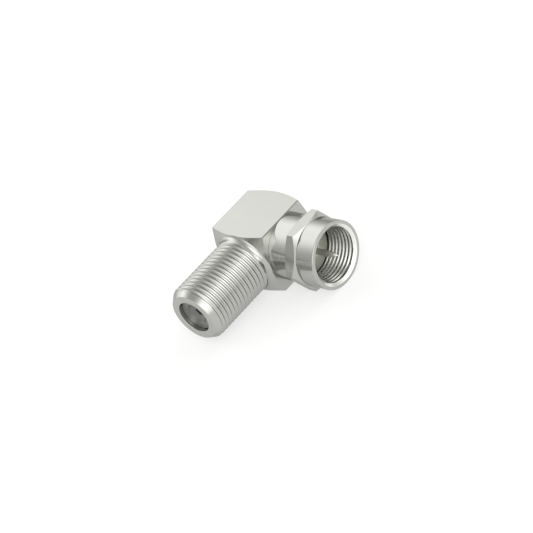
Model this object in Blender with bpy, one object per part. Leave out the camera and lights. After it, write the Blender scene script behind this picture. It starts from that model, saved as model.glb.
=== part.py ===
# Right-angle coaxial adapter: a square elbow with a threaded socket at one end
# and a captive coupling nut round a centre pin at the other.
# Metres, +Z up. The nut and the pin point along +X and the socket along -Y.
# The origin is the middle of the square block's flat underside.

import math

import bmesh
import bpy
from mathutils import Matrix, Vector

MM = 0.001

# Screw thread of both ports: a helix outside, drawn plain at its crests inside
THREAD_MAJOR = 9.525 * MM      # across the crests of the outside thread
THREAD_HEIGHT = 0.487 * MM     # crest of the outside thread to crest of the inside one
THREAD_PITCH = 25.4 / 32 * MM  # 32 turns to the inch
GROOVE_DEPTH = 0.34 * MM       # rolled groove of the outside thread, crest to root
THREAD_RUNOUT = 0.4 * MM       # length over which the groove fades out at the fillet
THREAD_PHASE = 0.25            # first crest past the fillet, as a share of the pitch

# Square block, turned from square bar
BLOCK_STEP = 0.4875 * MM       # flats of the bar above the thread's crests
BLOCK_FRONT = 4.4 * MM         # crossing of the axes to the front corners
BLOCK_REAR = 4.6 * MM          # crossing of the axes to the rear corners
CONE_ANGLE = math.radians(22.5)
REAR_LAND = 0.75 * MM          # flats of the bar above the flat rear face
EDGE_BREAK = 0.12 * MM         # broken long edges of the bar

# Socket barrel
SOCKET_LENGTH = 18.2 * MM      # crossing of the axes to the mouth
MOUTH_STEP = 0.8125 * MM       # thread's crests above the mouth's flat face
MOUTH_CHAMFER = 1.15 * MM      # length of the lead-in chamfer
ROOT_FILLET = 0.9 * MM         # concave fillet between block and barrel
SOCKET_BORE = 5.5 * MM
SLEEVE_LEDGE = 0.35 * MM       # ledge that the socket's insulator seats on

# Rear closing cap
CAP_LEDGE = 0.7 * MM           # ledge that the cap seats on
CAP_THICK = 1.0 * MM
CAP_EDGE = 0.15 * MM

# Post that carries the nut
POST_BORE = 3.6 * MM
POST_WALL = 1.5 * MM
POST_FLANGE_THICK = 1.0 * MM
POST_EDGE = 0.12 * MM
FLANGE_GAP = 0.325 * MM        # flange inside the crests of the nut's thread
POST_LEDGE = 1.0 * MM          # wall between the post's seat and the main bore
SLEEVE_WALL = 0.3 * MM         # wall between the post's seat and the socket's bore

# Coupling nut, from its rear face to its mouth
NUT_SLEEVE_LENGTH = 3.95 * MM  # rear face to the hexagon's rear corners
NUT_HEX_LENGTH = 1.1 * MM      # length of the hexagon's corners
NUT_BARREL_LENGTH = 3.85 * MM  # hexagon's front corners to the mouth
NUT_DEPTH = 5.75 * MM          # mouth to the post's contact face
NUT_SLEEVE_WALL = 0.535 * MM
NUT_BARREL_WALL = 1.025 * MM   # outside of the barrel above the thread's crests
NUT_HEX_STEP = 0.14 * MM       # hexagon's flats above the barrel
NUT_HEX_ANGLE = math.radians(26.0)
NUT_RIM_EDGE = 0.12 * MM
RELIEF_DEPTH = 0.325 * MM      # undercut behind the thread, below its crests
THREAD_CLEAR = 0.25 * MM       # post's contact face to the first thread
NUT_LEAD_STEP = 0.45 * MM      # lead-in chamfer at the mouth
NUT_LEAD_DEPTH = 0.37 * MM

# Centre conductors and insulators
PIN_D = 0.95 * MM
PIN_PROUD = 0.35 * MM          # tip of the pin past the nut's mouth
PIN_NOSE = 0.9 * MM
TAIL_INSET = 0.3 * MM          # end of the pin's tail inside the contact
INSULATOR_SET = 0.3 * MM       # inner end of the pin's insulator to the main bore
INSULATOR_RECESS = 0.25 * MM   # its front below the post's face
SLEEVE_RECESS = 0.7 * MM       # front of the socket's insulator below the mouth
FUNNEL_STEP = 1.05 * MM        # width of the funnel round the entry hole
FUNNEL_DEPTH = 0.65 * MM
ENTRY_D = 1.3 * MM
LIP_THICK = 1.3 * MM
CONTACT_BORE = 1.3 * MM
CONTACT_WALL = 0.4 * MM
CONTACT_REAR = 1.15 * MM       # end of the contact past the crossing
SPRING_LENGTH = 5.2 * MM       # slotted part of the contact
SLOT_PAST = 2.4 * MM           # contact's bore past the end of its slots
SLOT_W = 0.28 * MM

# Clearances
PRESS_GAP = 0.04 * MM          # round pieces that are pressed together
RUN_GAP = 0.12 * MM            # radial running gap of the nut
END_GAP = 0.1 * MM             # axial play of the nut at each end

# How far a cutter reaches past what it cuts
MARGIN = 1.0 * MM

# Facets round a turn
TURN = 72
TURN_SMALL = 32

# Derived sizes across the axes
THREAD_R = THREAD_MAJOR / 2
HALF_W = THREAD_R + BLOCK_STEP
CORNER_R = HALF_W * math.sqrt(2)
AXIS_Z = HALF_W
REAR_FACE_R = HALF_W - REAR_LAND
MOUTH_R = THREAD_R - MOUTH_STEP
BORE_R = SOCKET_BORE / 2
CHAMBER_R = BORE_R - SLEEVE_LEDGE
CAP_R = CHAMBER_R + CAP_LEDGE
SHANK_R = POST_BORE / 2 + POST_WALL
NUT_CREST_R = THREAD_R - THREAD_HEIGHT
FLANGE_R = NUT_CREST_R - FLANGE_GAP
RELIEF_R = NUT_CREST_R + RELIEF_DEPTH
NUT_SLEEVE_R = RELIEF_R + NUT_SLEEVE_WALL
NUT_BARREL_R = NUT_CREST_R + NUT_BARREL_WALL
HEX_R = (NUT_BARREL_R + NUT_HEX_STEP) / math.cos(math.pi / 6)
PIN_R = PIN_D / 2
CONTACT_R = CONTACT_BORE / 2 + CONTACT_WALL

# Derived places along the pin's axis
POST_SEAT = CHAMBER_R + POST_LEDGE
NUT_REAR = HALF_W + END_GAP
HEX_REAR = NUT_REAR + NUT_SLEEVE_LENGTH
HEX_FRONT = HEX_REAR + NUT_HEX_LENGTH
NUT_MOUTH = HEX_FRONT + NUT_BARREL_LENGTH
POST_FACE = NUT_MOUTH - NUT_DEPTH
LIP_FRONT = POST_FACE - POST_FLANGE_THICK - END_GAP
NUT_THREAD_START = POST_FACE + THREAD_CLEAR

# Derived places along the socket's axis
SLEEVE_SEAT = SHANK_R + SLEEVE_WALL
SLEEVE_FRONT = SOCKET_LENGTH - SLEEVE_RECESS
CONTACT_FRONT = SLEEVE_FRONT - LIP_THICK - PRESS_GAP


def cone_at(radius, corner):
    """Distance along the bar at which an end cone has this radius."""
    return corner + (CORNER_R - radius) * math.tan(CONE_ANGLE)


REAR_Z = -cone_at(REAR_FACE_R, BLOCK_REAR)


def material(name, colour, metallic, roughness):
    mat = bpy.data.materials.new(name)
    mat.use_nodes = True
    shader = mat.node_tree.nodes["Principled BSDF"]
    shader.inputs["Base Color"].default_value = (*colour, 1.0)
    shader.inputs["Metallic"].default_value = metallic
    shader.inputs["Roughness"].default_value = roughness
    mat.diffuse_color = (*colour, 1.0)
    return mat


def turned(name, profile, steps=TURN):
    """Revolves a closed outline of (radius, height) points about local Z."""
    bm = bmesh.new()
    verts = [bm.verts.new((r, 0.0, z)) for r, z in profile]
    edges = [bm.edges.new((a, b)) for a, b in zip(verts, verts[1:])]
    if profile[0][0] > 0:
        edges.append(bm.edges.new((verts[-1], verts[0])))
    bmesh.ops.spin(
        bm,
        geom=verts + edges,
        axis=(0, 0, 1),
        cent=(0, 0, 0),
        angle=2 * math.pi,
        steps=steps,
        use_merge=True,
    )
    bmesh.ops.remove_doubles(bm, verts=bm.verts, dist=1e-7)
    bmesh.ops.recalc_face_normals(bm, faces=bm.faces)
    return finish(name, bm)


def prism(name, sides, radius, bottom, top, spin, edge=0.0):
    """Bar stock along local Z: a regular polygon with broken long edges."""
    bm = bmesh.new()
    bmesh.ops.create_cone(
        bm,
        cap_ends=True,
        segments=sides,
        radius1=radius,
        radius2=radius,
        depth=top - bottom,
        matrix=Matrix.Translation((0, 0, (top + bottom) / 2)) @ Matrix.Rotation(spin, 4, "Z"),
    )
    if edge > 0:
        upright = [e for e in bm.edges if abs(e.verts[0].co.z - e.verts[1].co.z) > (top - bottom) / 2]
        bmesh.ops.bevel(
            bm,
            geom=upright,
            offset=edge,
            offset_type="OFFSET",
            segments=2,
            profile=0.5,
            affect="EDGES",
        )
    bmesh.ops.recalc_face_normals(bm, faces=bm.faces)
    return finish(name, bm)


def slab(name, size, centre):
    """A plain box used as a cutter."""
    bm = bmesh.new()
    bmesh.ops.create_cube(bm, size=1.0)
    bmesh.ops.scale(bm, vec=size, verts=bm.verts)
    bmesh.ops.translate(bm, vec=centre, verts=bm.verts)
    return finish(name, bm)


def finish(name, bm):
    mesh = bpy.data.meshes.new(name)
    bm.to_mesh(mesh)
    bm.free()
    mesh.shade_smooth()
    mesh.set_sharp_from_angle(angle=math.radians(30))
    obj = bpy.data.objects.new(name, mesh)
    bpy.context.collection.objects.link(obj)
    return obj


def boolean(obj, other, operation):
    """Adds an exact Boolean with a hidden tool body."""
    mod = obj.modifiers.new(other.name, "BOOLEAN")
    mod.object = other
    mod.operation = operation
    mod.solver = "EXACT"
    other.hide_render = True
    other.display_type = "WIRE"
    other.parent = obj.parent


def shade(obj, mat):
    """Gives the piece its material and keeps its flat faces looking flat."""
    obj.data.materials.append(mat)
    if obj.modifiers:
        normals = obj.modifiers.new("flat_faces", "WEIGHTED_NORMAL")
        normals.keep_sharp = True


def axis_empty(name, direction):
    """An empty at the crossing of the axes whose local Z points along a port."""
    empty = bpy.data.objects.new(name, None)
    empty.empty_display_size = 3 * MM
    empty.location = (0, 0, AXIS_Z)
    empty.rotation_mode = "QUATERNION"
    empty.rotation_quaternion = direction.to_track_quat("Z", "Y")
    bpy.context.collection.objects.link(empty)
    return empty


def fillet_points(corner_z, steps=6):
    """Concave quarter fillet from the end cone down to the barrel."""
    centre_r = THREAD_R + ROOT_FILLET
    start = math.radians(270) - CONE_ANGLE
    # the arc is tangent to the cone and to the barrel
    tangent = math.tan((math.pi / 2 - CONE_ANGLE) / 2) * ROOT_FILLET
    meet_z = cone_at(THREAD_R, corner_z)
    centre_z = meet_z + tangent
    points = []
    for i in range(steps + 1):
        a = start - (start - math.pi) * i / steps
        points.append((centre_r + ROOT_FILLET * math.cos(a), centre_z + ROOT_FILLET * math.sin(a)))
    return points


def thread_points(turn, start):
    """Crests and roots of the helix, as a lathe tool meets them at one angle of the turn."""
    slope = MOUTH_STEP / MOUTH_CHAMFER
    end = SOCKET_LENGTH - (MOUTH_STEP - GROOVE_DEPTH) / slope
    halves = 2 * math.ceil((end - start) / THREAD_PITCH) + 2
    points = []
    for k in range(-2, halves):
        z = min(max(start + THREAD_PITCH * (k / 2 + turn), start), end)
        depth = GROOVE_DEPTH * min(1.0, (z - start) / THREAD_RUNOUT) if k % 2 else 0.0
        chamfer_r = MOUTH_R + (SOCKET_LENGTH - z) * slope
        points.append((min(THREAD_R - depth, chamfer_r), z))
    points.append((THREAD_R - GROOVE_DEPTH, end))
    return points


def threaded(name, rear, start, front, steps=TURN):
    """A turned piece with a helix between two plain outlines that end on the axis."""
    bm = bmesh.new()
    columns = []
    for i in range(steps + 1):
        a = 2 * math.pi * i / steps
        points = rear + thread_points(i / steps + THREAD_PHASE, start) + front
        columns.append([bm.verts.new((r * math.cos(a), r * math.sin(a), z)) for r, z in points])
    for left, right in zip(columns, columns[1:]):
        for j in range(len(left) - 1):
            bm.faces.new((left[j], right[j], right[j + 1], left[j + 1]))
    bmesh.ops.remove_doubles(bm, verts=bm.verts, dist=1e-7)
    bmesh.ops.dissolve_degenerate(bm, dist=1e-7, edges=bm.edges)
    bmesh.ops.recalc_face_normals(bm, faces=bm.faces)
    return finish(name, bm)


def build_body(port, side, mat):
    """Elbow: square bar cut to a turned and threaded outline, then bored from three sides."""
    reach = CORNER_R + MARGIN
    rear = [
        (0.0, REAR_Z),
        (REAR_FACE_R, REAR_Z),
        (reach, -cone_at(reach, BLOCK_REAR)),
        (reach, cone_at(reach, BLOCK_FRONT)),
    ]
    rear += fillet_points(BLOCK_FRONT)
    front = [(MOUTH_R, SOCKET_LENGTH), (0.0, SOCKET_LENGTH)]
    body = prism(
        "elbow_body",
        4,
        CORNER_R,
        REAR_Z - MARGIN,
        SOCKET_LENGTH + MARGIN,
        math.radians(45),
        EDGE_BREAK,
    )
    body.parent = port
    turning = threaded("turned_outline", rear, rear[-1][1], front)
    boolean(body, turning, "INTERSECT")

    cap_seat = REAR_Z + CAP_THICK + PRESS_GAP
    bore = [
        (0.0, REAR_Z - MARGIN),
        (CAP_R, REAR_Z - MARGIN),
        (CAP_R, cap_seat),
        (CHAMBER_R, cap_seat),
        (CHAMBER_R, SLEEVE_SEAT),
        (BORE_R, SLEEVE_SEAT),
        (BORE_R, SOCKET_LENGTH + MARGIN),
        (0.0, SOCKET_LENGTH + MARGIN),
    ]
    boolean(body, turned("main_bore", bore), "DIFFERENCE")

    side_bore = [
        (0.0, 0.0),
        (POST_BORE / 2, 0.0),
        (POST_BORE / 2, POST_SEAT),
        (SHANK_R, POST_SEAT),
        (SHANK_R, HALF_W + MARGIN),
        (0.0, HALF_W + MARGIN),
    ]
    side_cut = turned("side_bore", side_bore)
    boolean(body, side_cut, "DIFFERENCE")
    side_cut.parent = side
    shade(body, mat)
    return body


def build_cap(port, mat):
    radius = CAP_R - PRESS_GAP
    inner_z = REAR_Z + CAP_THICK
    outline = [
        (0.0, REAR_Z),
        (radius - CAP_EDGE, REAR_Z),
        (radius, REAR_Z + CAP_EDGE),
        (radius, inner_z),
        (0.0, inner_z),
    ]
    cap = turned("rear_cap", outline)
    cap.parent = port
    shade(cap, mat)
    return cap


def build_post(side, mat):
    """Flanged tube pressed into the side bore: its flange holds the nut on."""
    shank = SHANK_R - PRESS_GAP
    outline = [
        (POST_BORE / 2, POST_SEAT + PRESS_GAP),
        (shank, POST_SEAT + PRESS_GAP),
        (shank, POST_FACE - POST_FLANGE_THICK),
        (FLANGE_R, POST_FACE - POST_FLANGE_THICK),
        (FLANGE_R, POST_FACE - POST_EDGE),
        (FLANGE_R - POST_EDGE, POST_FACE),
        (POST_BORE / 2 + POST_EDGE, POST_FACE),
        (POST_BORE / 2, POST_FACE - POST_EDGE),
    ]
    post = turned("male_post", outline)
    post.parent = side
    shade(post, mat)
    return post


def build_nut(side, mat):
    """Hexagon bar cut to a turned outline, bored and undercut inside."""
    slope = math.tan(NUT_HEX_ANGLE)
    reach = HEX_R + MARGIN
    outline = [
        (0.0, NUT_REAR),
        (NUT_SLEEVE_R - NUT_RIM_EDGE, NUT_REAR),
        (NUT_SLEEVE_R, NUT_REAR + NUT_RIM_EDGE),
        (NUT_SLEEVE_R, HEX_REAR - (HEX_R - NUT_SLEEVE_R) * slope),
        (reach, HEX_REAR + MARGIN * slope),
        (reach, HEX_FRONT - MARGIN * slope),
        (NUT_BARREL_R, HEX_FRONT + (HEX_R - NUT_BARREL_R) * slope),
        (NUT_BARREL_R, NUT_MOUTH - NUT_RIM_EDGE),
        (NUT_BARREL_R - NUT_RIM_EDGE, NUT_MOUTH),
        (0.0, NUT_MOUTH),
    ]
    nut = prism("coupling_nut", 6, HEX_R, NUT_REAR - MARGIN, NUT_MOUTH + MARGIN, math.radians(30))
    nut.parent = side
    boolean(nut, turned("nut_outline", outline), "INTERSECT")

    lip_r = SHANK_R + RUN_GAP
    lead_slope = NUT_LEAD_STEP / NUT_LEAD_DEPTH
    bore = [
        (0.0, NUT_REAR - MARGIN),
        (lip_r, NUT_REAR - MARGIN),
        (lip_r, LIP_FRONT),
        (RELIEF_R, LIP_FRONT),
        (RELIEF_R, NUT_THREAD_START),
        (NUT_CREST_R, NUT_THREAD_START),
        (NUT_CREST_R, NUT_MOUTH - NUT_LEAD_DEPTH),
        (NUT_CREST_R + NUT_LEAD_STEP + lead_slope * MARGIN, NUT_MOUTH + MARGIN),
        (0.0, NUT_MOUTH + MARGIN),
    ]
    boolean(nut, turned("nut_bore", bore), "DIFFERENCE")
    shade(nut, mat)
    return nut


def build_pin(side, mat):
    """Centre pin with a rounded nose: its tail goes through the contact."""
    tail = TAIL_INSET - CONTACT_R
    tip = NUT_MOUTH + PIN_PROUD
    outline = [(0.0, tail), (PIN_R, tail)]
    for i in range(6):
        a = math.pi / 2 * i / 6
        outline.append((PIN_R * math.cos(a), tip - PIN_NOSE * (1 - math.sin(a))))
    outline.append((0.0, tip))
    pin = turned("centre_pin", outline, TURN_SMALL)
    pin.parent = side
    shade(pin, mat)
    return pin


def build_male_insulator(side, mat):
    radius = POST_BORE / 2 - PRESS_GAP
    hole = PIN_R + PRESS_GAP
    inner = CHAMBER_R + INSULATOR_SET
    front = POST_FACE - INSULATOR_RECESS
    outline = [
        (hole, inner),
        (radius, inner),
        (radius, front),
        (hole, front),
    ]
    bead = turned("male_insulator", outline)
    bead.parent = side
    shade(bead, mat)
    return bead


def build_sleeve(port, mat):
    """Socket insulator: a sleeve with a funnelled front lip."""
    radius = BORE_R - PRESS_GAP
    hole = CONTACT_R + PRESS_GAP
    outline = [
        (hole, SLEEVE_SEAT + PRESS_GAP),
        (radius, SLEEVE_SEAT + PRESS_GAP),
        (radius, SLEEVE_FRONT),
        (ENTRY_D / 2 + FUNNEL_STEP, SLEEVE_FRONT),
        (ENTRY_D / 2, SLEEVE_FRONT - FUNNEL_DEPTH),
        (ENTRY_D / 2, SLEEVE_FRONT - LIP_THICK),
        (hole, SLEEVE_FRONT - LIP_THICK),
    ]
    sleeve = turned("female_insulator", outline)
    sleeve.parent = port
    shade(sleeve, mat)
    return sleeve


def build_contact(port, side, mat):
    """Spring contact: a slotted tube with a solid rear drilled for the pin."""
    inner = CONTACT_BORE / 2
    edge = CONTACT_WALL / 3
    bore_end = CONTACT_FRONT - SPRING_LENGTH - SLOT_PAST
    outline = [
        (0.0, -CONTACT_REAR),
        (CONTACT_R, -CONTACT_REAR),
        (CONTACT_R, CONTACT_FRONT - edge),
        (CONTACT_R - edge, CONTACT_FRONT),
        (inner + edge, CONTACT_FRONT),
        (inner, CONTACT_FRONT - edge),
        (inner, bore_end),
        (0.0, bore_end),
    ]
    contact = turned("female_contact", outline, TURN_SMALL)
    contact.parent = port
    middle = Vector((0, 0, CONTACT_FRONT + (MARGIN - SPRING_LENGTH) / 2))
    long = SPRING_LENGTH + MARGIN
    across = 2 * CONTACT_R + MARGIN
    boolean(contact, slab("slot_x", (across, SLOT_W, long), middle), "DIFFERENCE")
    boolean(contact, slab("slot_y", (SLOT_W, across, long), middle), "DIFFERENCE")
    hole = PIN_R + PRESS_GAP
    reach = 2 * CONTACT_R
    drill = turned("pin_drill", [(0.0, -reach), (hole, -reach), (hole, reach), (0.0, reach)], TURN_SMALL)
    boolean(contact, drill, "DIFFERENCE")
    drill.parent = side
    shade(contact, mat)
    return contact


def main():
    for old in list(bpy.data.objects):
        bpy.data.objects.remove(old, do_unlink=True)

    nickel = material("bright_nickel", (0.78, 0.78, 0.74), 1.0, 0.18)
    nut_nickel = material("nut_nickel", (0.76, 0.76, 0.73), 1.0, 0.2)
    cap_nickel = material("cap_nickel", (0.74, 0.74, 0.71), 1.0, 0.25)
    post_nickel = material("post_nickel", (0.72, 0.72, 0.68), 1.0, 0.28)
    pin_plate = material("pin_plate", (0.72, 0.71, 0.68), 1.0, 0.22)
    spring_bronze = material("spring_bronze", (0.78, 0.66, 0.42), 1.0, 0.3)
    grey_plastic = material("grey_plastic", (0.12, 0.12, 0.12), 0.0, 0.45)
    white_plastic = material("white_plastic", (0.75, 0.74, 0.7), 0.0, 0.5)

    port = axis_empty("socket_axis", Vector((0, -1, 0)))
    side = axis_empty("pin_axis", Vector((1, 0, 0)))
    spin = axis_empty("nut_axis", Vector((1, 0, 0)))

    build_body(port, side, nickel)
    build_cap(port, cap_nickel)
    build_post(side, post_nickel)
    build_male_insulator(side, white_plastic)
    build_pin(side, pin_plate)
    build_sleeve(port, grey_plastic)
    build_contact(port, side, spring_bronze)
    build_nut(spin, nut_nickel)


main()
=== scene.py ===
# %% [markdown]
# # A right-angle coaxial adapter, dressed for its picture
#
# The real part is a finger-nail sized piece of turned and plated brass. A square elbow
# carries a threaded socket at one end and a loose coupling nut round a centre pin at the
# other. The CAD model gives every size and every moving joint. This script keeps that
# model as a frame and hangs finer surfaces on it: real screw threads, edges that are
# broken as a file would break them, and nickel plate that mirrors the room.
#
# The first step loads the frame and lists the names of its parts.

# %% Load the imported adapter
import math

import bmesh
import bpy
from mathutils import Matrix, Vector


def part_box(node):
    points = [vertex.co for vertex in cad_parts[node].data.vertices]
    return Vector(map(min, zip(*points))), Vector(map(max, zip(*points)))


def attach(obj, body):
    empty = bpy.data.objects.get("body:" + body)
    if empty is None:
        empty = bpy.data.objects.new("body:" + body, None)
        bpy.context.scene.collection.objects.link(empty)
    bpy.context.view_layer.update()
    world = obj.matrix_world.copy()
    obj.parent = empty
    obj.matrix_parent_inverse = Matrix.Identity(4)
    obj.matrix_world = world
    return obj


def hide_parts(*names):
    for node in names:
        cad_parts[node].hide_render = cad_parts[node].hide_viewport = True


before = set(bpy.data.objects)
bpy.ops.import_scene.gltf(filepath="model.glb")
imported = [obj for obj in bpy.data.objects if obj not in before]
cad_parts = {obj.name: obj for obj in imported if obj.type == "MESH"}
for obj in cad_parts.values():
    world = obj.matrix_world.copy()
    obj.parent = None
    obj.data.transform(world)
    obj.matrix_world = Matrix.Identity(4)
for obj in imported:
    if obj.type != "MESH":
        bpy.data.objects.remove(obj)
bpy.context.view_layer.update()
print("CAD nodes:", sorted(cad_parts))

# %% [markdown]
# ## Sizes read from the frame
#
# A fine surface has to lie exactly where its CAD solid lies. So the main sizes are read
# back from the solids' boxes, and only the small features that a box can't show are
# written here in millimetres. If the CAD model is made larger, most of the dress follows.

# %% Sizes that the boxes give
MM = 0.001

block_low, block_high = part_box("elbow_body")
HALF_W = block_high.z / 2          # half the square bar, and the height of both axes
MOUTH = -block_low.y               # crossing of the axes to the socket's mouth
REAR = -block_high.y               # crossing of the axes to the rear face, on the same axis
CORNER_R = HALF_W * math.sqrt(2)

_, nut_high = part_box("coupling_nut")
NUT_MOUTH = nut_high.x
HEX_R = nut_high.y                 # across the hexagon's corners, halved

post_low, post_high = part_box("male_post")
POST_SEAT = post_low.x
POST_FACE = post_high.x

CROSSING = Vector((0.0, 0.0, HALF_W))
main_sizes = {
    "half width": HALF_W,
    "socket mouth": MOUTH,
    "nut mouth": NUT_MOUTH,
    "post face": POST_FACE,
}
for label, value in main_sizes.items():
    print(f"{label}: {value / MM:.3f} mm")

# %% [markdown]
# ## The camera
#
# A long lens far away flattens the little part as in a catalogue picture. The directions
# below were solved from corners and rim points of the part: the object's +X runs to the
# lower right of the picture, and the socket comes down to the lower left. The camera is
# also rolled, as the part seems to lean in its frame.

# %% Place the camera
LENS = 147.49                      # mm
SENSOR = 36.0                      # mm
CAMERA_RIGHT = Vector((0.72832654, 0.59302605, -0.34330824))
CAMERA_DOWN = Vector((0.16131317, -0.63531792, -0.75521467))
CAMERA_AWAY = Vector((-0.66597185, 0.49466275, -0.55838182))
CAMERA_REACH = 333.671 * MM        # camera to the crossing of the axes, along the view
CROSSING_RIGHT = -0.030 * MM       # where the crossing lies, from the middle of the picture
CROSSING_DOWN = -3.981 * MM

camera_data = bpy.data.cameras.new("catalogue_camera")
camera_data.lens = LENS
camera_data.sensor_width = SENSOR
camera_data.clip_start = 10 * MM
camera_data.clip_end = 20.0
camera = bpy.data.objects.new("catalogue_camera", camera_data)
bpy.context.scene.collection.objects.link(camera)
spot = CROSSING - CAMERA_RIGHT * CROSSING_RIGHT - CAMERA_DOWN * CROSSING_DOWN
spot -= CAMERA_AWAY * CAMERA_REACH
turn = Matrix((CAMERA_RIGHT, -CAMERA_DOWN, -CAMERA_AWAY)).transposed().to_4x4()
camera.matrix_world = Matrix.Translation(spot) @ turn
bpy.context.scene.camera = camera
print("camera at", [round(v, 4) for v in spot])

# %% [markdown]
# ## Turning, as on a lathe
#
# Nearly every surface here came off a lathe, so nearly every piece is an outline swept
# round an axis. Each outline is a list of (radius, distance along the axis) points, in
# millimetres. A real turned corner is never perfectly sharp: the next helper rounds
# chosen corners of an outline with a small arc, which later catches a thin line of light.
# A holding row beside each arc keeps the shading of the flat next to it flat.

# %% Round the corners of an outline
HOLD = 0.35                        # holding row beside a rounded corner, as a share of its radius


def broken(outline, steps=3):
    """Rounds the corners of a closed outline of (radius, distance, corner radius) points."""
    points = []
    count = len(outline)
    for i, (r, z, corner) in enumerate(outline):
        here = Vector((r, z))
        if corner <= 0:
            points.append(here)
            continue
        back = (Vector(outline[i - 1][:2]) - here).normalized()
        ahead = (Vector(outline[(i + 1) % count][:2]) - here).normalized()
        half = back.angle(ahead) / 2
        centre = here + (back + ahead).normalized() * (corner / math.sin(half))
        reach = corner / math.tan(half)
        arm = here + back * reach - centre
        sweep = math.pi - 2 * half
        if back.x * ahead.y - back.y * ahead.x > 0:
            sweep = -sweep
        points.append(here + back * (reach + HOLD * corner))
        for step in range(steps + 1):
            points.append(centre + Matrix.Rotation(sweep * step / steps, 2) @ arm)
        points.append(here + ahead * (reach + HOLD * corner))
    return points


sample = broken([(1, 0, 0), (1, 1, 0.1), (0, 1, 0)])
print("a right angle broken by 0.1 mm:", [tuple(round(c, 3) for c in p) for p in sample])

# %% [markdown]
# A piece is drawn with its axis upright and then laid along its port. Both ports meet at
# the crossing of the axes: the socket points along -Y, and the pin and nut along +X.

# %% Lay a piece along its port
SOCKET_AXIS = Matrix.Translation(CROSSING) @ Matrix(((1, 0, 0), (0, 0, -1), (0, 1, 0))).to_4x4()
PIN_AXIS = Matrix.Translation(CROSSING) @ Matrix(((0, 0, 1), (1, 0, 0), (0, 1, 0))).to_4x4()
WELD = 2e-5                        # mm, below which two points are one
SLIVER = 1e-6                      # mm, below which an edge has no length
SHARP = math.radians(28)           # edges sharper than this aren't shaded smooth


def finished(name, bm, axis, material, body, stands_for):
    """Welds a mesh, lays it along an axis, and gives it to a body of the frame."""
    bmesh.ops.remove_doubles(bm, verts=bm.verts, dist=WELD)
    bmesh.ops.dissolve_degenerate(bm, dist=SLIVER, edges=bm.edges)
    bmesh.ops.delete(bm, geom=[e for e in bm.edges if not e.link_faces], context="EDGES")
    bmesh.ops.recalc_face_normals(bm, faces=bm.faces)
    open_edges = sum(1 for e in bm.edges if len(e.link_faces) != 2)
    mesh = bpy.data.meshes.new(name)
    bm.to_mesh(mesh)
    bm.free()
    mesh.transform(axis @ Matrix.Scale(MM, 4))
    mesh.shade_smooth()
    mesh.set_sharp_from_angle(angle=SHARP)
    piece = bpy.data.objects.new(name, mesh)
    bpy.context.scene.collection.objects.link(piece)
    mesh.materials.append(material)
    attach(piece, body)
    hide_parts(stands_for)
    print(f"{name}: {len(mesh.polygons)} faces, {open_edges} open edges")
    return piece


# %% [markdown]
# A sheet of faces is the common ground of all the pieces: columns of points, one for each
# angle round the axis, joined to their neighbours. A plain turned piece has the same
# outline in every column.

# %% Sweep outlines round an axis


def join_columns(bm, columns, closed):
    """Joins neighbouring columns of vertices with faces; closed also joins end to start."""
    for left, right in zip(columns, columns[1:]):
        rows = len(left)
        for j in range(rows if closed else rows - 1):
            k = (j + 1) % rows
            bm.faces.new((left[j], right[j], right[k], left[k]))


def upright(bm, angle, points):
    """One column of vertices at an angle, from (radius, distance) points."""
    c, s = math.cos(angle), math.sin(angle)
    return [bm.verts.new((r * c, r * s, z)) for r, z in points]


def even_angles(count):
    """Angles once round, the last on the first."""
    return [2 * math.pi * i / count for i in range(count + 1)]


def turned(outline, count=160):
    """A turned piece with a closed outline."""
    bm = bmesh.new()
    points = broken(outline)
    join_columns(bm, [upright(bm, a, points) for a in even_angles(count)], True)
    return bm


# %% [markdown]
# ## The square bar and the hexagon bar
#
# The elbow is cut from square bar and the nut from hexagon bar. Seen from the axis, a bar
# is just a radius that changes with the angle: it is least in the middle of a flat and
# greatest at a corner. Drawn bar has slightly rounded corners, so the corner is an arc.
# When a lathe then cuts a cone over the bar, the cone meets each flat in the curved edge
# that makes a nut look like a nut.

# %% Radius of a bar at any angle
GAP_GROWTH = 1.45                  # from a corner on, each gap is this much wider than the last


def bar_radius(angle, flats, half, corner, first):
    """Distance from the axis to the skin of a bar with rounded corners, the first at an angle."""
    wedge = math.pi / flats
    off = (angle - first + wedge) % (2 * wedge) - wedge  # angle from the nearest corner
    centre = (half - corner) / math.cos(wedge)
    edge_of_arc = math.atan2(corner * math.sin(wedge), centre + corner * math.cos(wedge))
    if corner > 0 and abs(off) < edge_of_arc:
        return centre * math.cos(off) + math.sqrt(corner**2 - (centre * math.sin(off)) ** 2)
    return half / math.cos(wedge - abs(off))


def bar_angles(flats, half, corner, step, first):
    """Angles round the axis, a step apart along the flats and closing up on the corners."""
    wedge = math.pi / flats
    centre = (half - corner) / math.cos(wedge)
    edge_of_arc = math.atan2(corner * math.sin(wedge), centre + corner * math.cos(wedge))
    arc = [edge_of_arc * share for share in (0.0, 0.5, 1.0)] if corner > 0 else [0.0]
    gap = edge_of_arc / 2 if corner > 0 else step
    flat = []
    at = arc[-1]
    while at < wedge:
        gap = min(gap * GAP_GROWTH, step)
        at += gap
        flat.append(at - arc[-1])
    flat = [arc[-1] + a * (wedge - arc[-1]) / flat[-1] for a in flat]
    half_side = arc + flat
    found = []
    for n in range(flats):
        middle = first + 2 * wedge * n
        found += [middle + a for a in half_side]
        found += [middle - a for a in half_side[1:-1]]
    found.sort()
    return found + [found[0] + 2 * math.pi]


# %% [markdown]
# ## The screw thread
#
# The socket has the thread of its kind, 32 turns to the inch. The nut's ribs are a little
# finer, as the picture shows them. A thread was rolled or tapped and then plated, so its
# crests and roots are rounded, and one pitch of it is a soft wave. The columns of a
# thread are shifted a little along the axis as they go round, by exactly one pitch in a
# full turn, and that alone turns a stack of rings into a true helix. Modelled geometry is
# chosen here and not a bump, because the crests show in the outline.

# %% One pitch of the thread
PITCH = 25.4 / 32
PITCH_STEPS = 12


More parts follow.
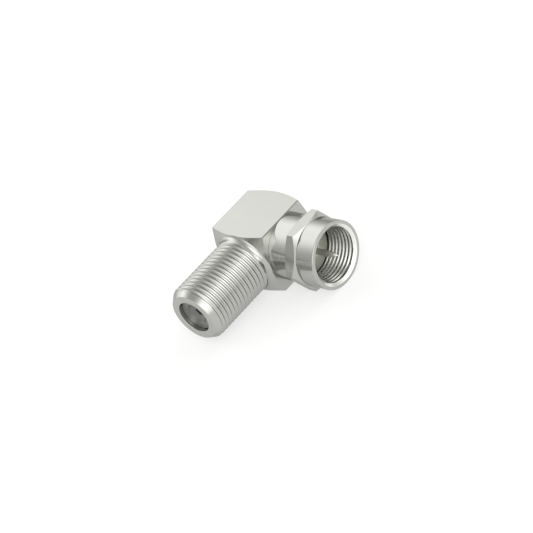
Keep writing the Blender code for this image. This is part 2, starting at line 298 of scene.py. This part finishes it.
def groove_rows(depth):
    """(share of a pitch, depth) points over one pitch, from the top of a crest."""
    shares = [i / PITCH_STEPS for i in range(PITCH_STEPS)]
    return [(share, depth * math.sin(math.pi * share) ** 2) for share in shares]


print(f"pitch {PITCH:.3f} mm, {PITCH_STEPS} points in each")


def thread_columns(bm, angles, start, end, pitch, depth, phase, radius_at):
    """Columns of a helical thread from start to end along the axis.

    The phase is where the first crest stands, as a share of the pitch, and radius_at
    turns a place along the axis and a depth below the crests into a radius.
    """
    rows = groove_rows(depth)
    turns = math.ceil((end - start) / pitch) + 1
    columns = []
    for angle in angles:
        lead = (angle - angles[0]) / (2 * math.pi) + phase
        points = []
        for n in range(-2, turns):
            for share, down in rows:
                z = min(max(start + pitch * (n + share + lead), start), end)
                points.append((radius_at(z, down), z))
        columns.append(upright(bm, angle, points))
    return columns


def eased(x):
    """A soft step from 0 to 1."""
    x = min(max(x, 0.0), 1.0)
    return x * x * (3 - 2 * x)


# %% [markdown]
# ## Nickel plate
#
# Bright nickel is a mirror with a faint warm tint, and it is not quite perfect. The
# lathe leaves fine rings round each turned surface, and polishing leaves soft patches
# that are a touch duller. Both are made by noise in the material: stretched noise for the
# rings, which is read along the axis and the radius but never round it, and cloudy noise
# for the patches. They change the roughness and tilt the surface by a hair. The tint is
# in the base colour, because in a metal that is the colour of the reflection.
#
# Three places differ from the rest. Along the square bar's long corners the base colour
# is darkened to a thin line, painted shade. The bore of the nut was never polished, so it is
# a touch rougher. The bevel in the nut's mouth gets a much paler base colour, a painted
# highlight that makes it the brightest part of all.

# %% Small helpers for node trees


def node(tree, kind, **settings):
    """A new node with its settings."""
    made = tree.nodes.new(kind)
    for key, value in settings.items():
        setattr(made, key, value)
    return made


def filled(tree, made, values):
    """Gives a node's inputs their values in turn, each a link or a plain value."""
    for socket, value in zip(made.inputs, values):
        if isinstance(value, bpy.types.NodeSocket):
            tree.links.new(value, socket)
        else:
            socket.default_value = value
    return made


def maths(tree, operation, *values):
    """A Math node, as the value that it gives."""
    made = node(tree, "ShaderNodeMath", operation=operation)
    return filled(tree, made, values).outputs["Value"]


def vector_maths(tree, operation, *values):
    """A Vector Math node, as the number or vector that it gives."""
    made = node(tree, "ShaderNodeVectorMath", operation=operation)
    gives_number = operation in ("DOT_PRODUCT", "LENGTH")
    return filled(tree, made, values).outputs["Value" if gives_number else "Vector"]


# %% Colours, ranges, rings and noise


def blended(tree, share, first, second):
    """A colour between two others; the first may be a link."""
    made = node(tree, "ShaderNodeMix", data_type="RGBA")
    tree.links.new(share, made.inputs["Factor"])
    if isinstance(first, tuple):
        made.inputs["A"].default_value = (*first, 1.0)
    else:
        tree.links.new(first, made.inputs["A"])
    made.inputs["B"].default_value = (*second, 1.0)
    return made.outputs["Result"]


def spread(tree, source, low, high):
    """Maps a 0 to 1 value on to a range."""
    ranged = node(tree, "ShaderNodeMapRange")
    ranged.inputs["To Min"].default_value = low
    ranged.inputs["To Max"].default_value = high
    tree.links.new(source, ranged.inputs["Value"])
    return ranged.outputs["Result"]


def ring_vector(tree, place, axis):
    """A place as (distance along the axis, distance from it), and each of the two by itself."""
    along = vector_maths(tree, "DOT_PRODUCT", place, axis)
    across = vector_maths(tree, "MULTIPLY", place, [1.0 - abs(a) for a in axis])
    radius = vector_maths(tree, "LENGTH", across)
    joined = filled(tree, node(tree, "ShaderNodeCombineXYZ"), (along, radius))
    return joined.outputs["Vector"], along, radius


def noise(tree, vector, scale, detail, seed):
    """Noise of so many clouds to the metre."""
    made = node(tree, "ShaderNodeTexNoise", noise_dimensions="4D")
    made.inputs["Scale"].default_value = scale
    made.inputs["Detail"].default_value = detail
    made.inputs["W"].default_value = seed
    tree.links.new(vector, made.inputs["Vector"])
    return made.outputs["Fac"]


# %% [markdown]
# Every metal here is one of these, with its own tints, dullness and height of rings. The
# last arguments say where a piece differs: a stretch along its axis without rings, the
# bore and the bevel with its painted highlight, and how far the painted shade along a bar's
# corners reaches.

# %% Make a turned metal


def corner_shade_mask(tree, place, reach):
    """1 near the square bar's four long corners, where the shade is painted, else 0."""
    parts = node(tree, "ShaderNodeSeparateXYZ")
    tree.links.new(vector_maths(tree, "ABSOLUTE", place), parts.inputs["Vector"])
    nearer = maths(tree, "MINIMUM", parts.outputs["X"], parts.outputs["Z"])
    return maths(tree, "GREATER_THAN", nearer, HALF_W - reach * MM)


def turned_metal(name, tints, rough, axis, ring_height, seed, plain=None, bore=None, corner=None):
    """Plated metal with lathe rings round an axis, of a height in metres, and cloudy wear.

    plain: two places along the axis, with no rings between them.
    bore: radius of the duller bore, place along the axis where the bevel with its painted
    highlight starts, and radius where it ends.
    corner: reach of the painted shade, a dark line along the bar's corners. These three are in mm.
    """
    mat = bpy.data.materials.new(name)
    mat.use_nodes = True
    tree = mat.node_tree
    shader = tree.nodes["Principled BSDF"]
    shader.inputs["Metallic"].default_value = 1.0
    shader.inputs["Specular Tint"].default_value = (*EDGE_TINT, 1.0)

    place = node(tree, "ShaderNodeTexCoord").outputs["Object"]
    centred = vector_maths(tree, "SUBTRACT", place, CROSSING)
    ringed, far, radius = ring_vector(tree, centred, axis)
    clouds = noise(tree, place, CLOUDS_PER_METRE, 4.0, seed)
    lines = noise(tree, ringed, RINGS_PER_METRE, 3.0, seed + 1.0)

    colour = blended(tree, clouds, *tints)
    ring_dull = spread(tree, lines, -RING_DULL, RING_DULL)
    dull = maths(tree, "ADD", spread(tree, clouds, *rough), ring_dull)
    height = lines
    # painted shade: a dark line in the base colour along the bar's long corners
    if corner:
        colour = blended(tree, corner_shade_mask(tree, centred, corner), colour, CORNER_PAINTED_SHADE)
    # painted highlight: a much paler base colour on the bevel in the nut's mouth; the bore's extra
    # roughness is real
    if bore:
        bore_r, bevel_start, bevel_r = (size * MM for size in bore)
        past_start = maths(tree, "GREATER_THAN", far, bevel_start)
        bevel_highlight_mask = maths(tree, "MULTIPLY", past_start, maths(tree, "LESS_THAN", radius, bevel_r))
        colour = blended(tree, bevel_highlight_mask, colour, BEVEL_PAINTED_HIGHLIGHT)
        in_bore = maths(tree, "LESS_THAN", radius, bore_r)
        dull = maths(tree, "ADD", dull, maths(tree, "MULTIPLY", in_bore, BORE_DULL))
    if plain:
        middle, half = (plain[0] + plain[1]) / 2 * MM, (plain[1] - plain[0]) / 2 * MM
        off = maths(tree, "ABSOLUTE", maths(tree, "SUBTRACT", far, middle))
        height = maths(tree, "MULTIPLY", lines, maths(tree, "GREATER_THAN", off, half))

    bump = node(tree, "ShaderNodeBump")
    bump.inputs["Strength"].default_value = 1.0
    bump.inputs["Distance"].default_value = ring_height
    tree.links.new(height, bump.inputs["Height"])
    tree.links.new(colour, shader.inputs["Base Color"])
    tree.links.new(dull, shader.inputs["Roughness"])
    tree.links.new(bump.outputs["Normal"], shader.inputs["Normal"])
    return mat


CLOUDS_PER_METRE = 420.0
RINGS_PER_METRE = 5200.0
RING_DULL = 0.02                   # how much a ring changes the roughness, either way
BORE_DULL = 0.10                   # how much rougher the nut's bore is
EDGE_TINT = (0.60, 0.60, 0.59)     # what is left of a reflection that grazes the metal
NICKEL = ((0.474, 0.478, 0.457), (0.454, 0.458, 0.436))
POST_NICKEL = ((0.765, 0.765, 0.687), (0.73, 0.73, 0.655))
PIN_NICKEL = ((0.80, 0.80, 0.757), (0.76, 0.76, 0.72))
BRONZE = ((0.62, 0.50, 0.30), (0.54, 0.42, 0.24))
# painted highlight: base colour of the bevel in the nut's mouth
BEVEL_PAINTED_HIGHLIGHT = (0.86, 0.86, 0.83)
# painted shade: base colour of the dark line along the bar's corners
CORNER_PAINTED_SHADE = (0.19, 0.19, 0.18)
CORNER_SHADE_REACH = 0.11                 # mm, reach of the painted shade along the bar's corners
BAR_FACES = (-4.6, 4.45)           # mm, the stretch of the elbow that the lathe didn't touch
NUT_DULL_R = 4.62                  # mm, just past the relief behind the nut's thread
NUT_BEVEL_DEPTH = 0.37             # mm, length of the bevel in the nut's mouth
NUT_BEVEL_R = 4.75                 # mm, just past the bevel's greatest radius
NUT_BORE = (NUT_DULL_R, NUT_MOUTH / MM - NUT_BEVEL_DEPTH, NUT_BEVEL_R)
SMOOTH = (0.13, 0.18)              # the roughness of bright plate, from its best to its worst
SOCKET_WAY = (0.0, -1.0, 0.0)
PIN_WAY = (1.0, 0.0, 0.0)

# elbow_nickel carries the painted shade along the bar's corners, and nut_nickel the painted
# highlight on the bevel in the nut's mouth.
elbow_nickel = turned_metal(
    "elbow_nickel", NICKEL, SMOOTH, SOCKET_WAY, 3.0e-6, 3.0, plain=BAR_FACES, corner=CORNER_SHADE_REACH
)
nut_nickel = turned_metal("nut_nickel", NICKEL, SMOOTH, PIN_WAY, 3.0e-6, 11.0, bore=NUT_BORE)
cap_nickel = turned_metal("cap_nickel", NICKEL, (0.14, 0.20), SOCKET_WAY, 3.0e-7, 17.0)
post_nickel = turned_metal("post_nickel", POST_NICKEL, (0.40, 0.50), PIN_WAY, 4.0e-7, 23.0)
pin_plate = turned_metal("pin_plate", PIN_NICKEL, (0.28, 0.34), PIN_WAY, 1.0e-6, 29.0)
bronze = turned_metal("spring_bronze", BRONZE, (0.24, 0.34), SOCKET_WAY, 3.0e-7, 31.0)
print("metals:", [mat.name for mat in bpy.data.materials if mat.name != "Material"])

# %% [markdown]
# ## Moulded plastic
#
# The insulators are small mouldings. A moulding is never one even colour: the flow of the
# melt leaves slightly lighter clouds, and the mould's own skin makes it dull in some
# places and waxy in others.

# %% Make a moulded plastic
FLOW_PER_METRE = 900.0
GRAIN_PER_METRE = 22000.0
GRAIN_HEIGHT = 1.5e-6
PLASTIC_GLOSS = 1.0                # twice the usual gloss, for the skin of a polished mould


def moulded(name, tints, rough, seed):
    """Moulded plastic with clouds from the flow and a fine grain."""
    mat = bpy.data.materials.new(name)
    mat.use_nodes = True
    tree = mat.node_tree
    shader = tree.nodes["Principled BSDF"]
    shader.inputs["Specular IOR Level"].default_value = PLASTIC_GLOSS
    place = node(tree, "ShaderNodeTexCoord").outputs["Object"]
    clouds = noise(tree, place, FLOW_PER_METRE, 3.0, seed)
    grain = noise(tree, place, GRAIN_PER_METRE, 2.0, seed + 1.0)
    tree.links.new(blended(tree, clouds, *tints), shader.inputs["Base Color"])
    tree.links.new(spread(tree, clouds, *rough), shader.inputs["Roughness"])

    bump = node(tree, "ShaderNodeBump")
    bump.inputs["Distance"].default_value = GRAIN_HEIGHT
    tree.links.new(grain, bump.inputs["Height"])
    tree.links.new(bump.outputs["Normal"], shader.inputs["Normal"])
    return mat


GREY = ((0.115, 0.115, 0.112), (0.095, 0.095, 0.092))
WHITE = ((0.74, 0.73, 0.69), (0.68, 0.67, 0.63))
grey_moulding = moulded("grey_moulding", GREY, (0.24, 0.32), 41.0)
white_moulding = moulded("white_moulding", WHITE, (0.40, 0.52), 43.0)
print("plastics:", grey_moulding.name, white_moulding.name)

# %% [markdown]
# ## The elbow and its threaded socket
#
# The elbow starts as a piece of square bar held in a lathe. The lathe cuts a shallow cone
# over each end of the block, which leaves the bowed edges of the top face. Then it turns
# the barrel down, leaves a hollow fillet at its root for strength, cuts the thread, and
# bevels the mouth so that a nut starts easily. All of that is one skin here: each column
# follows the outline at its own angle, and the bar's radius says how far out it goes.

# %% Sizes of the elbow
THREAD_R = 9.525 / 2
GROOVE_DEPTH = 0.34                # crest to root of the socket's thread
SOCKET_PHASE = 0.25                # first crest past the fillet, as a share of the pitch
FADE_IN = 0.45                     # stretch over which the thread starts, as a share of the pitch
half_w = HALF_W / MM
corner_r = CORNER_R / MM
mouth = MOUTH / MM
rear = REAR / MM
CONE_DEGREES = 22.5                # the end cones, from square to the axis
CONE = math.tan(math.radians(CONE_DEGREES))
BLOCK_FRONT = 4.4                  # crossing to the front corners
BLOCK_REAR = 4.6                   # crossing to the rear corners
REAR_FLAT = 0.75                   # the flat rear face's rim, inside the sides of the block
BAR_EDGE = 0.12                    # rounding of the bar's long corners
SQUARE_CORNER = math.radians(45)
EDGE = 0.07                        # the usual broken edge
MOUTH_R = 3.95
MOUTH_BEVEL = 1.15                 # length of the mouth's bevel
THREAD_LAP = 0.04                  # how far the thread goes on after its roots meet the bevel
FILLET = 0.9
BORE_R = 2.75
CHAMBER_R = 2.4
CAP_R = 3.1
CAP_SEAT = 1.04                    # depth of the cap's seat
SLEEVE_SEAT = 3.6
ANGLE_STEP = math.radians(1.8)     # between two columns on a flat

BEVEL_SLOPE = (THREAD_R - MOUTH_R) / MOUTH_BEVEL
print(f"block {2 * half_w:.2f} mm square, thread {2 * THREAD_R:.3f} mm across")

# %% Outline of the elbow


def cone_at(radius, corner):
    """Distance along the bar at which an end cone has this radius."""
    return corner + (corner_r - radius) * CONE


def bevel_radius(z):
    """Radius of the mouth's bevel at a distance along the socket."""
    return MOUTH_R + (mouth - z) * BEVEL_SLOPE


def fillet_points(steps=14):
    """Hollow fillet from the front cone down to the barrel."""
    start = math.radians(270 - CONE_DEGREES)
    tangent = math.tan((math.pi / 2 - math.radians(CONE_DEGREES)) / 2) * FILLET
    centre = Vector((THREAD_R + FILLET, cone_at(THREAD_R, BLOCK_FRONT) + tangent))
    turns = [start - (start - math.pi) * i / steps for i in range(steps + 1)]
    return [centre + Vector((math.cos(a), math.sin(a))) * FILLET for a in turns]


FILLET_POINTS = fillet_points()
THREAD_START = FILLET_POINTS[-1].y
THREAD_END = mouth - (THREAD_R - GROOVE_DEPTH - MOUTH_R) / BEVEL_SLOPE + THREAD_LAP
thread_turns = (THREAD_END - THREAD_START) / PITCH
print(f"thread from {THREAD_START:.2f} to {THREAD_END:.2f} mm, {thread_turns:.1f} turns")


def elbow_outline(angle):
    """The elbow's whole outline but the thread, from the mouth inwards and back outside."""
    skin = bar_radius(angle, 4, half_w, BAR_EDGE, SQUARE_CORNER)
    outline = [
        (bevel_radius(THREAD_END), THREAD_END, 0),
        (MOUTH_R, mouth, EDGE),
        (BORE_R, mouth, 0.09),
        (BORE_R, SLEEVE_SEAT, 0),
        (CHAMBER_R, SLEEVE_SEAT, 0),
        (CHAMBER_R, rear + CAP_SEAT, 0),
        (CAP_R, rear + CAP_SEAT, 0),
        (CAP_R, rear, 0.05),
        (half_w - REAR_FLAT, rear, EDGE),
        (skin, -cone_at(skin, BLOCK_REAR), EDGE),
        (skin, cone_at(skin, BLOCK_FRONT), EDGE),
    ]
    return broken(outline) + FILLET_POINTS


def socket_thread(z, depth):
    """Radius of the socket's thread: it fades in after the fillet and ends on the bevel."""
    fade = eased((z - THREAD_START) / (FADE_IN * PITCH))
    return min(THREAD_R - depth * fade, bevel_radius(z))


# %% [markdown]
# The skin and the thread are two sheets of columns. Their first and last rows lie on each
# other and are welded, so the two sheets close into one solid.

# %% Build the elbow
elbow_angles = bar_angles(4, half_w, BAR_EDGE, ANGLE_STEP, SQUARE_CORNER)
elbow_bm = bmesh.new()
elbow_skin = [upright(elbow_bm, a, elbow_outline(a)) for a in elbow_angles]
elbow_thread = thread_columns(
    elbow_bm, elbow_angles, THREAD_START, THREAD_END,
    PITCH, GROOVE_DEPTH, SOCKET_PHASE, socket_thread,
)
join_columns(elbow_bm, elbow_skin, False)
join_columns(elbow_bm, elbow_thread, False)
elbow = finished(
    "threaded_elbow", elbow_bm, SOCKET_AXIS, elbow_nickel, "adapter", "elbow_body"
)

# %% [markdown]
# The side bore for the post can't be swept round the socket's axis, so it is cut by a
# Boolean, once, and applied. It is hidden when the adapter is whole, but the mesh is also
# kept by itself, and there the hole belongs.

# %% Drill the side bore
SHANK_R = 3.3
POST_BORE_R = 1.8
CUTTER_END = 9.0                   # well outside the block
post_seat = POST_SEAT / MM

cutter_bm = turned([
    (0.0, 0.0, 0),
    (POST_BORE_R, 0.0, 0),
    (POST_BORE_R, post_seat, 0),
    (SHANK_R, post_seat, 0),
    (SHANK_R, CUTTER_END, 0),
    (0.0, CUTTER_END, 0),
], 96)
bmesh.ops.remove_doubles(cutter_bm, verts=cutter_bm.verts, dist=WELD)
bmesh.ops.recalc_face_normals(cutter_bm, faces=cutter_bm.faces)
cutter_mesh = bpy.data.meshes.new("side_cutter")
cutter_bm.to_mesh(cutter_mesh)
cutter_bm.free()
cutter_mesh.transform(PIN_AXIS @ Matrix.Scale(MM, 4))
side_cutter = bpy.data.objects.new("side_cutter", cutter_mesh)
bpy.context.scene.collection.objects.link(side_cutter)

drill = elbow.modifiers.new("side_bore", "BOOLEAN")
drill.object = side_cutter
drill.operation = "DIFFERENCE"
drill.solver = "EXACT"
with bpy.context.temp_override(object=elbow, active_object=elbow, selected_objects=[elbow]):
    bpy.ops.object.modifier_apply(modifier="side_bore")
bpy.data.objects.remove(side_cutter, do_unlink=True)
print("elbow after drilling:", len(elbow.data.polygons), "faces")

# %% [markdown]
# ## The coupling nut
#
# The nut is turned from hexagon bar. Only a narrow ring of the hexagon is left for the
# spanner, and the bar is turned round before and behind it. The cones that end the
# hexagon are cut at 26 degrees, so each flat shows as a shape with two bowed sides. The
# thread is inside, so its crests point to the axis. A bevel at the mouth leads the socket
# in.

# %% Sizes of the nut
BLOCK_GAP = 0.012                  # a hair line between the nut and the block
nut_rear = half_w + BLOCK_GAP
nut_mouth = NUT_MOUTH / MM
hex_r = HEX_R / MM
post_face = POST_FACE / MM
HEX_HALF = hex_r * math.cos(math.pi / 6)
HEX_CONE_DEGREES = 26.0
HEX_CONE = math.tan(math.radians(HEX_CONE_DEGREES))
HEX_EDGE = 0.0                     # the hexagon's corners are left sharp
HEX_BACK = 9.3
HEX_AHEAD = 10.4
NUT_SLEEVE_R = 5.1355
NUT_BARREL_R = 5.3005
NUT_CREST_R = THREAD_R - 0.487     # the nut's crests reach the roots of a full thread
RELIEF_R = 4.6005
NUT_BORE_R = 3.42
LIP_FRONT = 7.4
NUT_BEVEL_STEP = 0.45              # how much wider the bevel is at the mouth than the crests
NUT_PITCH = 0.683
NUT_GROOVE = 0.19
NUT_PHASE = 0.29                   # first crest past the relief, as a share of the pitch
NUT_FADE_IN = 0.10                 # stretch over which the thread starts, as a share of the pitch
NUT_FADE_OUT = 0.5                 # stretch over which it ends
NUT_THREAD_START = post_face + 0.3
NUT_THREAD_END = nut_mouth - 0.02

bevel_start = nut_mouth - NUT_BEVEL_DEPTH
nut_bevel_slope = NUT_BEVEL_STEP / NUT_BEVEL_DEPTH
print(f"hexagon {2 * HEX_HALF:.2f} mm across its flats, nut {nut_mouth - nut_rear:.2f} mm long")

# %% Outline of the nut


def nut_lead(z):
    """Radius of the crests, or of the mouth's bevel beyond them."""
    return NUT_CREST_R + max(0.0, z - bevel_start) * nut_bevel_slope


def nut_outline(angle):
    """The nut's whole outline but the thread, from the mouth outwards and back inside."""
    skin = bar_radius(angle, 6, HEX_HALF, HEX_EDGE, 0.0)
    outline = [
        (nut_lead(NUT_THREAD_END), NUT_THREAD_END, 0),
        (NUT_CREST_R + NUT_BEVEL_STEP, nut_mouth, 0.03),
        (NUT_BARREL_R, nut_mouth, 0.12),
        (NUT_BARREL_R, HEX_AHEAD + (hex_r - NUT_BARREL_R) * HEX_CONE, 0.06),
        (skin, HEX_AHEAD + (hex_r - skin) * HEX_CONE, 0.04),
        (skin, HEX_BACK - (hex_r - skin) * HEX_CONE, 0.04),
        (NUT_SLEEVE_R, HEX_BACK - (hex_r - NUT_SLEEVE_R) * HEX_CONE, 0.06),
        (NUT_SLEEVE_R, nut_rear, 0.02),
        (NUT_BORE_R, nut_rear, 0.08),
        (NUT_BORE_R, LIP_FRONT, 0.05),
        (RELIEF_R, LIP_FRONT, 0.05),
        (RELIEF_R, NUT_THREAD_START, 0),
    ]
    return broken(outline)


def nut_thread(z, depth):
    """Radius of the nut's thread: crests inside, roots outside."""
    relief = 1 - eased((z - NUT_THREAD_START) / (NUT_FADE_IN * NUT_PITCH))
    groove = eased((bevel_start - z) / (NUT_FADE_OUT * NUT_PITCH))
    cut = max(NUT_CREST_R + depth * groove, nut_lead(z))
    return cut + (RELIEF_R - cut) * relief


# %% Build the nut
nut_angles = bar_angles(6, HEX_HALF, HEX_EDGE, ANGLE_STEP, 0.0)
nut_bm = bmesh.new()
nut_skin = [upright(nut_bm, a, nut_outline(a)) for a in nut_angles]
nut_ribs = thread_columns(
    nut_bm, nut_angles, NUT_THREAD_START, NUT_THREAD_END,
    NUT_PITCH, NUT_GROOVE, NUT_PHASE, nut_thread,
)
join_columns(nut_bm, nut_skin, False)
join_columns(nut_bm, nut_ribs, False)
finished("threaded_nut", nut_bm, PIN_AXIS, nut_nickel, "nut", "coupling_nut")

# %% [markdown]
# ## The small turned pieces
#
# The post is the flanged tube that keeps the nut on, the pin is the centre conductor, and
# the rear cap closes the hole through which the inside was put together. Each gets a finer
# outline than its CAD solid, with its edges broken. The post's flange is also a little
# larger than the solid's, because the picture shows more of it.

# %% Turn the post
PRESS_GAP = 0.04
RIM_GAP = 0.14                     # flange inside the crests of the nut's thread
FACE_AHEAD = 0.5                   # the picture shows the flange's face this much nearer the mouth
FLANGE_BACK = 1.0                  # the flange's rear, behind the face of the solid
rim_r = NUT_CREST_R - RIM_GAP
shown_face = post_face + FACE_AHEAD
flange_back = post_face - FLANGE_BACK
shank_r = SHANK_R - PRESS_GAP

finished(
    "flanged_post",
    turned([
        (POST_BORE_R, post_seat, 0),
        (shank_r, post_seat, 0.05),
        (shank_r, flange_back, 0),
        (rim_r, flange_back, 0.05),
        (rim_r, shown_face, 0.35),
        (POST_BORE_R, shown_face, 0.12),
    ]),
    PIN_AXIS, post_nickel, "adapter", "male_post",
)

# %% [markdown]
# The pin's nose is long and tapers in a soft curve, so that it finds its hole. Its rows
# stand closer together towards the tip, where the curve is sharpest.

# %% Turn the pin
PIN_NOSE = 1.9                     # length of the tapering nose
NOSE_ROWS = 16
NOSE_CROWDING = 1.5                # 1 spaces the rows evenly, and more draws them to the tip
NOSE_FULLNESS = 0.8                # 0.5 is round, and more is leaner
pin_low, pin_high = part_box("centre_pin")
PIN_R = (pin_high.z - pin_low.z) / 2 / MM
pin_tail, pin_tip = pin_low.x / MM, pin_high.x / MM

nose = []
for i in range(NOSE_ROWS):
    left = (1 - i / NOSE_ROWS) ** NOSE_CROWDING  # share of the nose's length to the tip
    r = PIN_R * (1 - (1 - left) ** 2) ** NOSE_FULLNESS
    nose.append((r, pin_tip - PIN_NOSE * left, 0))
finished(
    "plated_pin",
    turned([(0.0, pin_tail, 0), (PIN_R, pin_tail, 0.03)] + nose + [(0.0, pin_tip, 0)], 64),
    PIN_AXIS, pin_plate, "adapter", "centre_pin",
)

# %% Press the cap
cap_r = CAP_R - PRESS_GAP
cap_front = rear + CAP_SEAT - PRESS_GAP
finished(
    "pressed_cap",
    turned([
        (0.0, rear, 0),
        (cap_r, rear, 0.15),
        (cap_r, cap_front, 0.03),
        (0.0, cap_front, 0),
    ]),
    SOCKET_AXIS, cap_nickel, "adapter", "rear_cap",
)

# %% [markdown]
# ## The insulators and the spring contact
#
# A white bead holds the pin in its post. The socket's insulator has a funnel, a bowl with
# steep sides, that guides a wire into the entry hole. Behind the hole sits the spring
# contact, a slotted tube of bronze. Its CAD solid is right as it is, so it stays and only
# gets its metal.

# %% The bead round the pin
bead_low, bead_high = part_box("male_insulator")
bead_r = bead_high.y / MM
bead_hole = PIN_R + PRESS_GAP
finished(
    "post_bead",
    turned([
        (bead_hole, bead_low.x / MM, 0),
        (bead_r, bead_low.x / MM, 0.04),
        (bead_r, bead_high.x / MM, 0.04),
        (bead_hole, bead_high.x / MM, 0.04),
    ], 96),
    PIN_AXIS, white_moulding, "adapter", "male_insulator",
)

# %% The socket's insulator and its contact
sleeve_low, sleeve_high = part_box("female_insulator")
sleeve_r = sleeve_high.x / MM
sleeve_front = -sleeve_low.y / MM
sleeve_rear = -sleeve_high.y / MM
ENTRY_R = 0.65
CONTACT_HOLE = 1.09
FUNNEL_R = 1.78
BOWL_R = FUNNEL_R - 0.33           # where the steep side turns into the bottom
bowl_at = sleeve_front - 0.36
funnel_end = sleeve_front - 0.65
entry_end = sleeve_front - 1.3
finished(
    "socket_insulator",
    turned([
        (CONTACT_HOLE, sleeve_rear, 0),
        (sleeve_r, sleeve_rear, 0.04),
        (sleeve_r, sleeve_front, 0.06),
        (FUNNEL_R, sleeve_front, 0.06),
        (BOWL_R, bowl_at, 0.2),
        (ENTRY_R, funnel_end, 0.08),
        (ENTRY_R, entry_end, 0.03),
        (CONTACT_HOLE, entry_end, 0),
    ], 128),
    SOCKET_AXIS, grey_moulding, "adapter", "female_insulator",
)

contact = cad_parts["female_contact"]
for place in contact.material_slots:
    place.material = bronze
print("contact keeps its CAD mesh,", len(contact.data.polygons), "faces")

# %% [markdown]
# ## The floor
#
# The adapter lies on its flat underside on a plain pale sheet. The sheet is lit like
# anything else, so it keeps the soft shadow. It is also lifted to white wherever it is
# seen directly, in the metal or through it, which Light Path's three outputs tell. To the
# tent's soft light it stays a middling grey, so little of that light comes back up.

# %% Lay the floor
FLOOR_RADIUS = 3.0
FLOOR_GAP = 0.02                   # mm, keeps the floor clear of the block's underside
FLOOR_LIFT = 0.62                  # share of the white that doesn't come from the tent
FLOOR_COLOUR = (0.35, 0.35, 0.35)

floor_bm = bmesh.new()
bmesh.ops.create_circle(floor_bm, cap_ends=True, segments=96, radius=FLOOR_RADIUS)
floor_mesh = bpy.data.meshes.new("floor")
floor_bm.to_mesh(floor_mesh)
floor_bm.free()
floor = bpy.data.objects.new("floor", floor_mesh)
floor.location.z = -FLOOR_GAP * MM
bpy.context.scene.collection.objects.link(floor)
print("floor", 2 * FLOOR_RADIUS, "m across")

# %% Give the floor its look
floor_mat = bpy.data.materials.new("pale_sheet")
floor_mat.use_nodes = True
floor_tree = floor_mat.node_tree
sheet = floor_tree.nodes["Principled BSDF"]
sheet.inputs["Base Color"].default_value = (*FLOOR_COLOUR, 1.0)
sheet.inputs["Roughness"].default_value = 0.9
sheet.inputs["Specular IOR Level"].default_value = 0.0
sheet.inputs["Emission Color"].default_value = (1.0, 1.0, 1.0, 1.0)
path = node(floor_tree, "ShaderNodeLightPath")
seen = maths(floor_tree, "MAXIMUM", path.outputs["Is Camera Ray"], path.outputs["Is Glossy Ray"])
seen = maths(floor_tree, "MAXIMUM", seen, path.outputs["Is Transmission Ray"])
lift = maths(floor_tree, "MULTIPLY", seen, FLOOR_LIFT)
floor_tree.links.new(lift, sheet.inputs["Emission Strength"])
floor_mesh.materials.append(floor_mat)
print("floor lifted by", FLOOR_LIFT, "where it is seen")

# %% [markdown]
# ## The room
#
# Polished metal shows nothing but its surroundings, so the surroundings are the finish.
# A catalogue photographer puts a small metal part in a tent of dull white cloth and sets
# soft panels round it. The key light stands high between the socket and the pin, with a
# softer one below it and a lower one past the pin. One more stands high behind the part,
# five dimmer ones go round its left, and two low ones stand in front. Each fades out
# smoothly, which gives turned metal its soft bands. The tent is the world here. A panel is
# a bell curve on the angle between a ray and the middle of the panel, and the cloth
# between the panels is a faint warm grey.

# %% Hang the tent and its panels
CLOTH = (0.60, 0.60, 0.577)
PANEL_WHITE = (1.0, 1.0, 0.985)
# round: degrees from the socket's side (-Y) towards the pin's side (+X); up: degrees above
# the floor; wide: degrees from the middle to half strength
PANELS = {
    "key": {"round": 55, "up": 46, "wide": 14, "strength": 1.98},
    "key front": {"round": 45, "up": 30, "wide": 18, "strength": 1.44},
    "key side": {"round": 106, "up": 16, "wide": 18, "strength": 2.07},
    "front": {"round": 0, "up": 17, "wide": 14, "strength": 1.54},
    "front low": {"round": 40, "up": 4, "wide": 14, "strength": 0.99},
    "back high": {"round": 166, "up": 46, "wide": 14, "strength": 2.22},
    "rear": {"round": 240, "up": 31, "wide": 14, "strength": 0.72},
    "left high": {"round": 249, "up": 46, "wide": 18, "strength": 0.75},
    "left top": {"round": 277, "up": 46, "wide": 14, "strength": 0.48},
    "left": {"round": 288, "up": 31, "wide": 14, "strength": 1.17},
    "left low": {"round": 280, "up": 4, "wide": 14, "strength": 0.94},
}

world = bpy.data.worlds.new("light_tent")
bpy.context.scene.world = world
world.use_nodes = True
room = world.node_tree
looking = node(room, "ShaderNodeTexCoord").outputs["Generated"]


def towards(round_degrees, up_degrees):
    """Direction of a place on the tent."""
    a, b = math.radians(round_degrees), math.radians(up_degrees)
    return (math.sin(a) * math.cos(b), -math.cos(a) * math.cos(b), math.sin(b))


def panel_light(tree, panel):
    """A bell curve round the middle of a panel."""
    middle = towards(panel["round"], panel["up"])
    nearness = vector_maths(tree, "DOT_PRODUCT", looking, middle)
    tightness = math.log(2) / (1 - math.cos(math.radians(panel["wide"])))
    return maths(tree, "EXPONENT", maths(tree, "MULTIPLY_ADD", nearness, tightness, -tightness))


total = 0.0
for panel in PANELS.values():
    total = maths(room, "MULTIPLY_ADD", panel_light(room, panel), panel["strength"], total)

glow = node(room, "ShaderNodeVectorMath", operation="SCALE")
glow.inputs[0].default_value = PANEL_WHITE
room.links.new(total, glow.inputs["Scale"])
cloth_and_glow = vector_maths(room, "ADD", CLOTH, glow.outputs["Vector"])
room.links.new(cloth_and_glow, room.nodes["Background"].inputs["Color"])
print(len(PANELS), "panels in the tent")

# %% [markdown]
# ## Finish
#
# Colours are shown plainly, with no film look.

# %% Colours
bpy.context.scene.view_settings.view_transform = "Standard"
